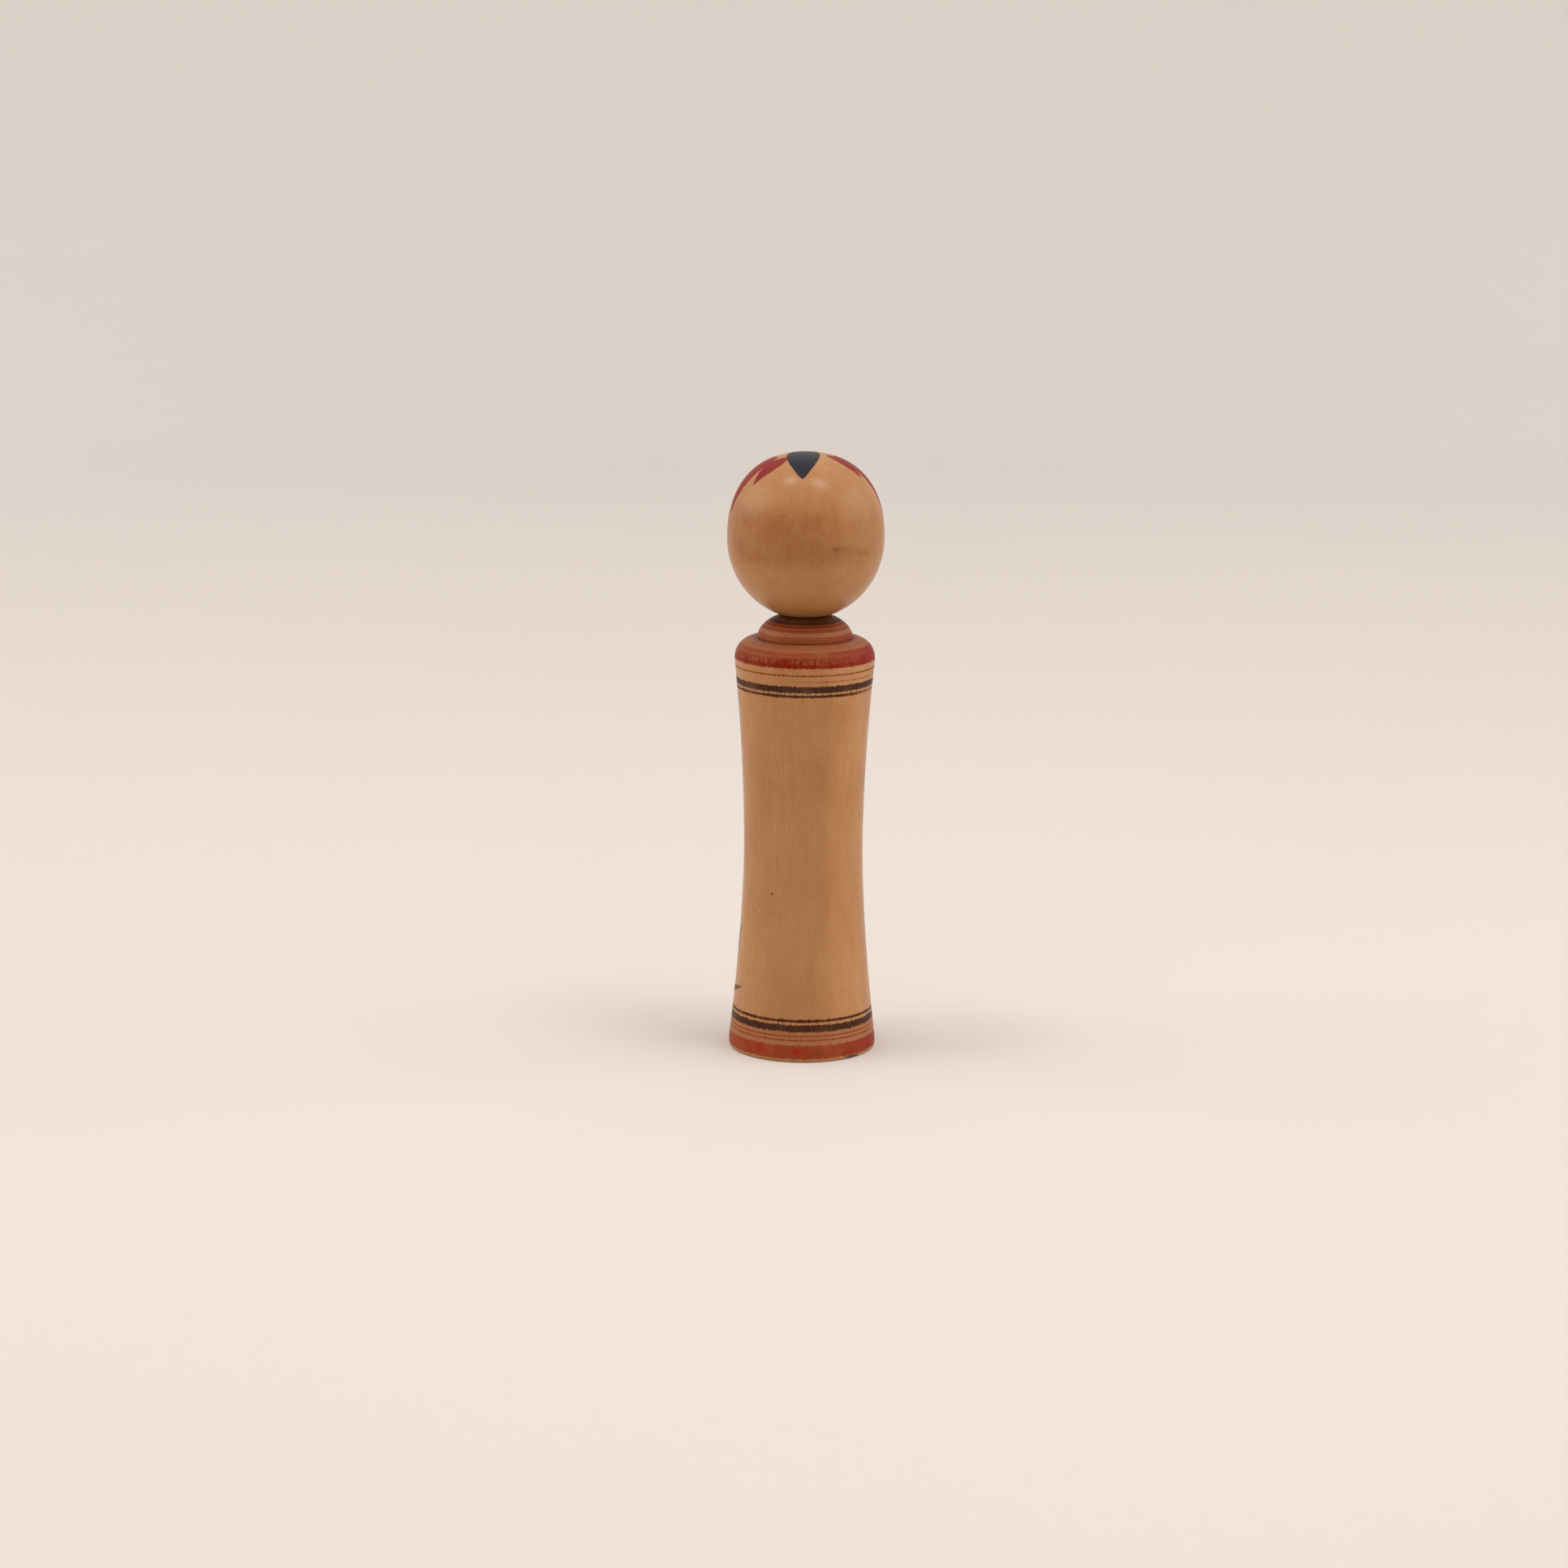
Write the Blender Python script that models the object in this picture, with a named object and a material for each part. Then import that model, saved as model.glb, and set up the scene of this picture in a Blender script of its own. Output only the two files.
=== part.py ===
"""A lathe-turned wooden kokeshi doll: a solid body, and a solid head that turns on its own tenon.

The doll stands on z = 0, its turning axis is +Z, and its painted face looks towards -Y. The head
and its tenon are one block. The tenon ends in a bead that is wider than the mouth of the body's
socket, so the head turns for ever but doesn't come out.
"""

import math

import bmesh
import bpy
from mathutils import Matrix, Vector

MM = 0.001
TINY = 1e-7
SHARP_ANGLE = 35.0

# How finely the outlines are cut: steps around the axis and along each curve.
SEGMENTS = 64
SKIRT_STEPS = 8
CHEST_STEPS = 9
SHOULDER_STEPS = 8
YOKE_STEPS = 7
CHIN_STEPS = 13
CROWN_STEPS = 14

# Body. Lengths are in millimetres, and heights are measured from the ground.
FOOT_RADIUS = 22.05
FOOT_HEIGHT = 2.6
FOOT_CHAMFER = 0.75
FOOT_CHAMFER_RISE = 0.9
WAIST_RADIUS = 17.8
WAIST_HEIGHT = 61.0
CHEST_RADIUS = 20.88
CHEST_HEIGHT = 118.4
SKIRT_SWEEP = 1.65
CHEST_SWEEP = 1.92

# Shoulder and the domed yoke that the head sits on, with a turned groove between them.
YOKE_RADIUS = 14.16
YOKE_BASE = 124.9
YOKE_RISE = 7.9
YOKE_ROUNDNESS = 2.0
YOKE_START = 3.0
SHOULDER_ROUNDNESS = 2.25
GROOVE_DEPTH = 0.45
GROOVE_WIDTH = 0.9
GROOVE_UNDERCUT = 0.09
SEAT_HEIGHT = 131.8

# Socket in the body and tenon on the head.
FIT_GAP = 0.3
TENON_RADIUS = 6.3
BEAD_RADIUS = 7.1
MOUTH_LENGTH = 3.4
BEAD_LENGTH = 7.0
BEAD_SLOPE = 1.2
POCKET_LENGTH = 9.4
MOUTH_CHAMFER = 0.5

# Head: a low ball, fuller above its widest level than below it.
HEAD_RADIUS = 23.24
HEAD_LEVEL = 154.8
HEAD_TOP = 179.9
CROWN_ROUNDNESS = 2.3
CHIN_DEPTH = 24.1
CHIN_ROUNDNESS = 2.03

# Prints of the lathe's four claws in the underside.
CLAW_COUNT = 4
CLAW_CIRCLE = 9.0
CLAW_LENGTH = 5.5
CLAW_WIDTH = 1.2
CLAW_DEPTH = 0.9
CLAW_TIP_LENGTH = 0.8
CLAW_TIP_WIDTH = 0.3

BODY_WOOD = (0.50, 0.27, 0.12, 1.0)
HEAD_WOOD = (0.52, 0.29, 0.14, 1.0)
WOOD_ROUGHNESS = 0.42


def arc(across, rise, roundness, start, end, steps):
    """Points (r, z) of a superellipse about the origin, between two angles in degrees.

    At 0 degrees the curve is at its full reach across, and at 90 at its full rise. The negative
    angles run below the middle.
    """
    points = []
    for i in range(steps + 1):
        angle = math.radians(start + (end - start) * i / steps)
        reach = max(math.cos(angle), 0.0) ** (2 / roundness)
        height = math.copysign(abs(math.sin(angle)) ** (2 / roundness), math.sin(angle))
        points.append((across * reach, rise * height))
    return points


def raised(points, radius, height):
    """Moves points out by a radius and up by a height."""
    return [(r + radius, z + height) for r, z in points]


def angle_where_height_is(height, rise, roundness):
    """The angle, in degrees, at which a superellipse has come up to this height."""
    return math.degrees(math.asin((height / rise) ** (roundness / 2)))


def flare(end_radius, end_height, sweep, steps):
    """Points (r, z) of the body's side from one end to the waist."""
    points = []
    for i in range(steps):
        share = 1 - i / steps
        radius = WAIST_RADIUS + (end_radius - WAIST_RADIUS) * share**sweep
        points.append((radius, WAIST_HEIGHT + (end_height - WAIST_HEIGHT) * share))
    return points


def body_outline():
    """The body in section: underside, skirt, waist, shoulder, yoke and socket, in that order."""
    outline = [(0.0, 0.0), (FOOT_RADIUS - FOOT_CHAMFER, 0.0), (FOOT_RADIUS, FOOT_CHAMFER_RISE)]
    outline += flare(FOOT_RADIUS, FOOT_HEIGHT, SKIRT_SWEEP, SKIRT_STEPS)
    outline.append((WAIST_RADIUS, WAIST_HEIGHT))
    outline += reversed(flare(CHEST_RADIUS, CHEST_HEIGHT, CHEST_SWEEP, CHEST_STEPS))

    shoulder_width = CHEST_RADIUS - YOKE_RADIUS
    shoulder_rise = YOKE_BASE - CHEST_HEIGHT
    shoulder = arc(shoulder_width, shoulder_rise, SHOULDER_ROUNDNESS, 0, 90, SHOULDER_STEPS)
    outline += raised(shoulder[1:-1], YOKE_RADIUS, CHEST_HEIGHT)
    outline.append((YOKE_RADIUS + GROOVE_WIDTH, YOKE_BASE))
    outline.append((YOKE_RADIUS - GROOVE_UNDERCUT, YOKE_BASE - GROOVE_DEPTH))

    seat = angle_where_height_is(SEAT_HEIGHT - YOKE_BASE, YOKE_RISE, YOKE_ROUNDNESS)
    yoke = arc(YOKE_RADIUS, YOKE_RISE, YOKE_ROUNDNESS, YOKE_START, seat, YOKE_STEPS)
    outline += raised(yoke, 0.0, YOKE_BASE)

    mouth = TENON_RADIUS + FIT_GAP
    pocket = BEAD_RADIUS + FIT_GAP
    lip = SEAT_HEIGHT - MOUTH_LENGTH
    outline.append((mouth + MOUTH_CHAMFER / 2, SEAT_HEIGHT))
    outline.append((mouth, SEAT_HEIGHT - MOUTH_CHAMFER))
    outline.append((mouth, lip))
    outline.append((pocket, lip - BEAD_SLOPE))
    outline.append((pocket, lip - POCKET_LENGTH + BEAD_SLOPE))
    outline.append((pocket - BEAD_SLOPE, lip - POCKET_LENGTH))
    outline.append((0.0, lip - POCKET_LENGTH))
    return outline


def head_outline():
    """The head in section, from the tenon's end up to the crown."""
    underside = SEAT_HEIGHT + FIT_GAP
    bead_top = underside - MOUTH_LENGTH - FIT_GAP
    bead_foot = bead_top - BEAD_LENGTH
    outline = [
        (0.0, bead_foot),
        (BEAD_RADIUS - BEAD_SLOPE, bead_foot),
        (BEAD_RADIUS, bead_foot + BEAD_SLOPE),
        (BEAD_RADIUS, bead_top - BEAD_SLOPE),
        (TENON_RADIUS, bead_top),
        (TENON_RADIUS, underside),
    ]
    cut = angle_where_height_is(HEAD_LEVEL - underside, CHIN_DEPTH, CHIN_ROUNDNESS)
    chin = arc(HEAD_RADIUS, CHIN_DEPTH, CHIN_ROUNDNESS, -cut, 0, CHIN_STEPS)
    crown = arc(HEAD_RADIUS, HEAD_TOP - HEAD_LEVEL, CROWN_ROUNDNESS, 0, 90, CROWN_STEPS)
    outline += raised(chin, 0.0, HEAD_LEVEL)
    outline += raised(crown[1:], 0.0, HEAD_LEVEL)
    return outline


def turned(name, outline, origin_height):
    """Turns an outline about +Z into one closed piece whose origin is on the axis."""
    bm = bmesh.new()
    profile = [bm.verts.new(Vector((r, 0.0, z - origin_height)) * MM) for r, z in outline]
    edges = [bm.edges.new(pair) for pair in zip(profile, profile[1:])]
    bmesh.ops.spin(
        bm,
        geom=profile + edges,
        cent=(0.0, 0.0, 0.0),
        axis=(0.0, 0.0, 1.0),
        angle=math.tau,
        steps=SEGMENTS,
        use_merge=True,
    )
    bmesh.ops.remove_doubles(bm, verts=bm.verts, dist=TINY)
    bmesh.ops.recalc_face_normals(bm, faces=bm.faces)
    mesh = bpy.data.meshes.new(name)
    bm.to_mesh(mesh)
    bm.free()
    mesh.shade_smooth()
    mesh.set_sharp_from_angle(angle=math.radians(SHARP_ANGLE))
    piece = bpy.data.objects.new(name, mesh)
    piece.location = (0.0, 0.0, origin_height * MM)
    bpy.context.collection.objects.link(piece)
    return piece


def claw_prints():
    """The cutter for the prints of the lathe's claws: four wedges around the underside's middle."""
    bm = bmesh.new()
    size = Vector((CLAW_LENGTH, CLAW_WIDTH, 2 * CLAW_DEPTH)) * MM
    for i in range(CLAW_COUNT):
        wedge = bmesh.ops.create_cube(bm, size=1.0)["verts"]
        bmesh.ops.scale(bm, vec=size, verts=wedge)
        for corner in wedge:
            if corner.co.z > 0:
                corner.co.x *= CLAW_TIP_LENGTH
                corner.co.y *= CLAW_TIP_WIDTH
        bmesh.ops.translate(bm, vec=(CLAW_CIRCLE * MM, 0.0, 0.0), verts=wedge)
        turn = Matrix.Rotation(math.tau * i / CLAW_COUNT, 3, "Z")
        bmesh.ops.rotate(bm, cent=(0.0, 0.0, 0.0), matrix=turn, verts=wedge)
    mesh = bpy.data.meshes.new("claw_prints")
    bm.to_mesh(mesh)
    bm.free()
    cutter = bpy.data.objects.new("claw_prints", mesh)
    cutter.hide_render = True
    cutter.display_type = "WIRE"
    bpy.context.collection.objects.link(cutter)
    return cutter


def wood(name, colour):
    """Old waxed wood of one colour."""
    material = bpy.data.materials.new(name)
    material.use_nodes = True
    shader = material.node_tree.nodes["Principled BSDF"]
    shader.inputs["Base Color"].default_value = colour
    shader.inputs["Roughness"].default_value = WOOD_ROUGHNESS
    shader.inputs["Metallic"].default_value = 0.0
    return material


def build():
    """Makes the doll: its body with the claw prints, and its head on the turning axis."""
    for item in list(bpy.data.objects):
        bpy.data.objects.remove(item, do_unlink=True)

    body = turned("body", body_outline(), 0.0)
    body.data.materials.append(wood("body_wood", BODY_WOOD))
    cut = body.modifiers.new("claw_prints", "BOOLEAN")
    cut.operation = "DIFFERENCE"
    cut.solver = "EXACT"
    cut.object = claw_prints()

    head = turned("head", head_outline(), SEAT_HEIGHT)
    head.data.materials.append(wood("head_wood", HEAD_WOOD))
    head.parent = body


build()
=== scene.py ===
"""Looks of a lathe-turned kokeshi doll: two turned blocks of old waxed wood and the painting on them.

The doll stands on z = 0, its turning axis is +Z and its painted face looks towards -Y. The blocks
are turned from the outlines that the frame gives the size of. The rings are dye and ink laid on the
turning wood, so they are masks in the wood's own material. Everything drawn with a brush is a thin
film of colour with its own shape, laid on the wood stroke by stroke.
"""

import logging
import math
import random
from bisect import bisect_right
from dataclasses import dataclass, field
from enum import Enum
from functools import reduce
from typing import Protocol

import bmesh
import bpy
from mathutils import Matrix, Vector


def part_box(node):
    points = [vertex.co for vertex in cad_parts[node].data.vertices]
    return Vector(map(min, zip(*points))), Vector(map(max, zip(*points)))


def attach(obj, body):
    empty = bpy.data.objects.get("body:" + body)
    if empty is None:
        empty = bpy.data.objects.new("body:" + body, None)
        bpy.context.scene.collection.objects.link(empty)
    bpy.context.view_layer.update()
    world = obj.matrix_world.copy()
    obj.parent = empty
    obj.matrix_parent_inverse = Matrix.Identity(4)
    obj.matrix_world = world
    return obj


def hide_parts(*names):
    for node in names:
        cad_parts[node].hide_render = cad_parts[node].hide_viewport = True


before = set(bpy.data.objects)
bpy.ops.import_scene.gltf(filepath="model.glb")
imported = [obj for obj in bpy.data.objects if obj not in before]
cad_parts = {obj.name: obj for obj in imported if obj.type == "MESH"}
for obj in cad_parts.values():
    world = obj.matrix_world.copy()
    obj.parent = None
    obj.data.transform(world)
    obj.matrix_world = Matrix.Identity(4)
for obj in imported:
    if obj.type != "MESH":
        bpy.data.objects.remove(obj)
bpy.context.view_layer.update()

MM = 0.001
FLAT = (1.0, 1.0, 0.0)
SHARP_ANGLE = 40
LOG = logging.getLogger("kokeshi")

Point = tuple[float, float]
Triple = tuple[float, float, float]
Colour = tuple[float, float, float, float]
Node = bpy.types.Node
Socket = bpy.types.NodeSocket
Sockets = bpy.types.bpy_prop_collection
Value = float | Triple | Colour | Socket


# ---------------------------------------------------------------- outlines


def superellipse(
    across: float, rise: float, roundness: float, start: float, end: float, steps: int
) -> list[Point]:
    """Gives points of a superellipse about the origin.

    Args:
        across: Reach at 0 degrees.
        rise: Height at 90 degrees.
        roundness: Exponent; 2 is an ellipse and more is squarer.
        start: First angle, in degrees.
        end: Last angle, in degrees.
        steps: Number of stretches between the points.

    Returns:
        The points, as (radius, height).
    """
    points = []
    for i in range(steps + 1):
        angle = math.radians(start + (end - start) * i / steps)
        reach = max(math.cos(angle), 0.0) ** (2 / roundness)
        height = math.copysign(abs(math.sin(angle)) ** (2 / roundness), math.sin(angle))
        points.append((across * reach, rise * height))
    return points


def moved(points: list[Point], out: float, up: float) -> list[Point]:
    """Moves outline points outwards and up."""
    return [(r + out, z + up) for r, z in points]


def smooth_curve(points: tuple[Point, ...], share: float) -> Point:
    """Reads a smooth curve through a few points.

    Args:
        points: The points that the curve goes through.
        share: Place on the curve, from 0 at the first point to 1 at the last.

    Returns:
        The point at that place.
    """
    last = len(points) - 1
    span = min(int(share * last), last - 1)
    t = share * last - span
    nearby = [points[min(max(span + k, 0), last)] for k in (-1, 0, 1, 2)]
    weights = (
        -0.5 * t + t**2 - 0.5 * t**3,
        1 - 2.5 * t**2 + 1.5 * t**3,
        0.5 * t + 2 * t**2 - 1.5 * t**3,
        -0.5 * t**2 + 0.5 * t**3,
    )
    return (
        sum(w * p[0] for w, p in zip(weights, nearby)),
        sum(w * p[1] for w, p in zip(weights, nearby)),
    )


def turn(name: str, outline: list[Point], steps: int, merge: float = 1e-7) -> bpy.types.Object:
    """Turns an outline about +Z into one smooth piece without a seam.

    Args:
        name: The piece's name.
        outline: Points (radius, height) in metres, from the bottom round to the top.
        steps: Facets in one turn.
        merge: How near two points are one, in metres.

    Returns:
        The new object, with its place in its mesh.
    """
    bm = bmesh.new()
    profile = [bm.verts.new((r, 0.0, z)) for r, z in outline]
    edges = [bm.edges.new(pair) for pair in zip(profile, profile[1:])]
    bmesh.ops.spin(
        bm,
        geom=profile + edges,
        cent=(0.0, 0.0, 0.0),
        axis=(0.0, 0.0, 1.0),
        angle=math.tau,
        steps=steps,
        use_merge=True,
    )
    bmesh.ops.remove_doubles(bm, verts=bm.verts, dist=merge)
    bmesh.ops.recalc_face_normals(bm, faces=bm.faces)
    return as_object(name, bm)


def as_object(name: str, bm: bmesh.types.BMesh) -> bpy.types.Object:
    """Makes an object of a finished bmesh, shaded smooth but for its sharp corners.

    Args:
        name: The object's name.
        bm: The finished bmesh, which is freed.

    Returns:
        The new object, in the scene.
    """
    mesh = bpy.data.meshes.new(name)
    bm.to_mesh(mesh)
    bm.free()
    mesh.shade_smooth()
    mesh.set_sharp_from_angle(angle=math.radians(SHARP_ANGLE))
    piece = bpy.data.objects.new(name, mesh)
    bpy.context.scene.collection.objects.link(piece)
    return piece


# ---------------------------------------------------------------- material wiring


class Wiring:
    """Adds nodes to one tree and joins them."""

    def __init__(self, tree: bpy.types.NodeTree) -> None:
        """Works on a tree."""
        self.tree = tree

    def fill(self, node: Node, inputs: dict[str | int, Value]) -> None:
        """Feeds a node's inputs.

        Args:
            node: The node.
            inputs: A socket to link, or a plain value, for each input that is fed.
        """
        for name, value in inputs.items():
            if isinstance(value, Socket):
                self.tree.links.new(value, node.inputs[name])
            else:
                node.inputs[name].default_value = value

    def add(self, kind: str, inputs: dict[str | int, Value], **settings: object) -> Node:
        """Adds a node.

        Args:
            kind: The node's type name.
            inputs: A socket to link, or a plain value, for each input that is fed.
            **settings: The node's own settings.

        Returns:
            The new node.
        """
        node = self.tree.nodes.new(kind)
        for name, setting in settings.items():
            setattr(node, name, setting)
        self.fill(node, inputs)
        return node

    def math(self, operation: str, *values: Value) -> Socket:
        """Does one sum on numbers."""
        return self.add("ShaderNodeMath", dict(enumerate(values)), operation=operation).outputs[0]

    def times(self, *values: Value) -> Socket:
        """Multiplies numbers together."""
        return reduce(lambda product, value: self.math("MULTIPLY", product, value), values)

    def vector(self, operation: str, *values: Value) -> Socket:
        """Does one sum on vectors, of which a length or a dot product is a number."""
        node = self.add("ShaderNodeVectorMath", dict(enumerate(values)), operation=operation)
        return node.outputs["Value" if operation in ("LENGTH", "DOT_PRODUCT") else "Vector"]

    def split(self, vector: Value) -> tuple[Socket, ...]:
        """Gives a vector's three parts."""
        return tuple(self.add("ShaderNodeSeparateXYZ", {0: vector}).outputs)

    def ease(self, value: Value, low: Value, high: Value, first: Value = 0.0, last: Value = 1.0) -> Socket:
        """Eases from one number to another as a value goes from low to high.

        Args:
            value: The value that is read.
            low: Where the change begins.
            high: Where it is complete.
            first: The result at low.
            last: The result at high.

        Returns:
            The eased number.
        """
        inputs = {"Value": value, "From Min": low, "From Max": high, "To Min": first, "To Max": last}
        node = self.add("ShaderNodeMapRange", inputs, interpolation_type="SMOOTHSTEP")
        return node.outputs["Result"]

    def mix(self, share: Value, a: Value, b: Value, blend: str = "MIX") -> Socket:
        """Mixes two colours by a share of the second."""
        inputs = {0: share, 6: a, 7: b}
        return self.add("ShaderNodeMix", inputs, data_type="RGBA", blend_type=blend).outputs[2]

    def noise(self, vector: Value, scale: Triple, detail: float) -> Socket:
        """Makes cloudy noise about 0.5.

        Args:
            vector: The place that is read.
            scale: The noise's own scale along each axis.
            detail: How many finer layers it has.

        Returns:
            The noise.
        """
        inputs = {"Vector": self.vector("MULTIPLY", vector, scale), "Scale": 1.0}
        inputs |= {"Detail": detail, "Roughness": 0.55}
        return self.add("ShaderNodeTexNoise", inputs).outputs["Fac"]


class ShaderGroup:
    """A shader node group with named inputs and outputs, built once."""

    name = ""
    takes: dict[str, str] = {}
    gives: dict[str, str] = {}

    def __init__(self) -> None:
        """Makes the group's tree and its sockets, and wires it."""
        self.tree = bpy.data.node_groups.new(self.name, "ShaderNodeTree")
        for way, sockets in (("INPUT", self.takes), ("OUTPUT", self.gives)):
            for name, kind in sockets.items():
                self.tree.interface.new_socket(name=name, in_out=way, socket_type="NodeSocket" + kind)
        wiring = Wiring(self.tree)
        entry = self.tree.nodes.new("NodeGroupInput").outputs
        leave = self.tree.nodes.new("NodeGroupOutput")
        wiring.fill(leave, self.wire(wiring, entry))

    def wire(self, w: Wiring, entry: Sockets) -> dict[str, Socket]:
        """Works out the group's outputs from its inputs.

        Args:
            w: The wiring of the group's tree.
            entry: The group's inputs, by name.

        Returns:
            A socket for each output, by name.
        """
        raise NotImplementedError

    def place(self, w: Wiring, inputs: dict[str, Value]) -> Sockets:
        """Places the group in a tree with its own values, and gives its outputs."""
        return w.add("ShaderNodeGroup", inputs, node_tree=self.tree).outputs


class GrainGroup(ShaderGroup):
    """Close-grained pale hardwood cut along the log: fibres, soft year rings, rays and patina.

    Each layer of the grain has its scale across and along the log, its detail and its weight.
    """

    name = "wood_grain"
    takes = {"Place": "Vector", "Pith": "Vector", "Pale": "Color", "Amber": "Color", "Umber": "Color"}
    gives = {"Color": "Color", "Fibre": "Float", "Teeth": "Float", "Height": "Float", "Patina": "Float"}
    year_width = 2.7
    year_wander = 9.0
    late_wood = 0.06
    depth = 0.48
    layers = {
        "fibre": ((2.1, 2.1, 0.075), 4.0, 0.30),
        "hair": ((5.5, 5.5, 0.35), 2.0, 0.28),
        "pores": ((3.2, 3.2, 2.0), 3.0, 0.60),
        "ray": ((0.7, 0.7, 0.02), 1.0, 0.14),
        "mottle": ((0.3, 0.3, 0.2), 3.0, 0.26),
    }

    def wire(self, w: Wiring, entry: Sockets) -> dict[str, Socket]:
        """Builds the grain from noise that is stretched along the log.

        Args:
            w: The wiring of the group's tree.
            entry: The place, the pith of the log and the three colours of the wood.

        Returns:
            The colour and the masks that paint and relief read.
        """
        place = entry["Place"]
        drift = w.noise(place, (0.05, 0.05, 0.012), 2.0)
        from_pith = w.vector("SUBTRACT", place, entry["Pith"])
        distance = w.vector("LENGTH", w.vector("MULTIPLY", from_pith, (1.0, 1.0, 0.02)))
        wandering = w.math("MULTIPLY_ADD", drift, self.year_wander, distance)
        year = w.math("FRACT", w.math("DIVIDE", wandering, self.year_width))
        depth = w.math("MULTIPLY_ADD", w.math("POWER", year, 3.0), self.late_wood, self.depth)
        noises = {}
        for name, (scale, detail, weight) in self.layers.items():
            noises[name] = w.noise(place, scale, detail)
            depth = w.math("MULTIPLY_ADD", w.math("SUBTRACT", noises[name], 0.5), weight, depth)
        patina = w.noise(place, (0.055, 0.055, 0.04), 3.0)
        colour = w.mix(w.ease(depth, 0.1, 0.9), entry["Pale"], entry["Amber"])
        return {
            "Color": w.mix(w.ease(patina, 0.30, 0.80, 0.0, 0.40), colour, entry["Umber"]),
            "Fibre": noises["fibre"],
            "Teeth": w.noise(place, (2.6, 2.6, 0.5), 2.0),
            "Height": w.math("MULTIPLY_ADD", noises["pores"], 0.6, noises["hair"]),
            "Patina": patina,
        }


class LatheBandGroup(ShaderGroup):
    """One band of colour laid on the turning wood, whose edges creep along the fibres."""

    name = "lathe_band"
    takes = dict.fromkeys(("Along", "From", "To", "Teeth", "Creep", "Softness"), "Float")
    gives = {"Mask": "Float"}

    def wire(self, w: Wiring, entry: Sockets) -> dict[str, Socket]:
        """Measures how far outside the band a place is, and lets the fibres carry colour there.

        Args:
            w: The wiring of the group's tree.
            entry: The height, the band's two edges, and how these creep and fade.

        Returns:
            The band's cover.
        """
        below = w.math("SUBTRACT", entry["From"], entry["Along"])
        above = w.math("SUBTRACT", entry["Along"], entry["To"])
        wick = w.times(w.ease(entry["Teeth"], 0.34, 0.70, -0.6, 1.0), entry["Creep"])
        distance = w.math("SUBTRACT", w.math("MAXIMUM", below, above), wick)
        softness = entry["Softness"]
        return {"Mask": w.ease(distance, w.times(softness, -1.0), softness, 1.0, 0.0)}


class BrushGroup(ShaderGroup):
    """How a brush stroke covers the wood: full in the middle, feathered at its rim, dry at its tail."""

    name = "brush_cover"
    takes = dict.fromkeys(("Fibre", "Dryness", "Feather", "Ragged"), "Float")
    gives = dict.fromkeys(("Cover", "Pooled", "Hairs"), "Float")

    def wire(self, w: Wiring, entry: Sockets) -> dict[str, Socket]:
        """Reads the stroke's own course and rim, which each film carries as attributes.

        Args:
            w: The wiring of the group's tree.
            entry: The wood's fibre, and how dry, feathered and ragged the stroke is.

        Returns:
            The cover, where the colour pooled, and the marks of the brush's hairs.
        """
        course = w.add("ShaderNodeAttribute", {}, attribute_name="course").outputs["Vector"]
        rim = w.add("ShaderNodeAttribute", {}, attribute_name="rim").outputs["Fac"]
        tail = w.ease(w.split(course)[2], 0.45, 1.0)
        hairs = w.noise(course, (0.22, 3.2, 0.0), 3.0)
        cloud = w.noise(course, (0.16, 0.45, 0.0), 2.0)
        inside = w.math("MULTIPLY_ADD", w.math("SUBTRACT", entry["Fibre"], 0.5), entry["Ragged"], rim)
        thin = w.times(tail, entry["Dryness"], 1.15)
        dry = w.ease(hairs, w.math("SUBTRACT", thin, 0.35), w.math("ADD", thin, 0.05), 0.12, 1.0)
        near_rim = w.ease(rim, 0.05, 0.42, 1.0, 0.0)
        return {
            "Cover": w.times(w.ease(inside, 0.0, entry["Feather"]), dry),
            "Pooled": w.math("MAXIMUM", near_rim, w.ease(cloud, 0.35, 0.85, 0.0, 0.6)),
            "Hairs": hairs,
        }


class SpotGroup(ShaderGroup):
    """One soft uneven spot about a point, which may be hollow like a dried drop."""

    name = "spot"
    takes = {"Place": "Vector", "Centre": "Vector", "Reach": "Vector", "Hollow": "Float"}
    gives = {"Mask": "Float"}

    def wire(self, w: Wiring, entry: Sockets) -> dict[str, Socket]:
        """Measures how far a place is from the centre, in units of the spot's reach.

        Args:
            w: The wiring of the group's tree.
            entry: The place, the spot's centre and reach, and how hollow it is.

        Returns:
            The spot's cover.
        """
        away = w.vector("SUBTRACT", entry["Place"], entry["Centre"])
        distance = w.vector("LENGTH", w.vector("DIVIDE", away, entry["Reach"]))
        uneven = w.math("SUBTRACT", w.noise(entry["Place"], (1.6, 1.6, 1.6), 3.0), 0.5)
        distance = w.math("MULTIPLY_ADD", uneven, 0.9, distance)
        middle = w.times(w.ease(distance, 0.2, 0.6, 1.0, 0.0), entry["Hollow"])
        return {"Mask": w.math("SUBTRACT", w.ease(distance, 0.55, 1.0, 1.0, 0.0), middle)}


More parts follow.
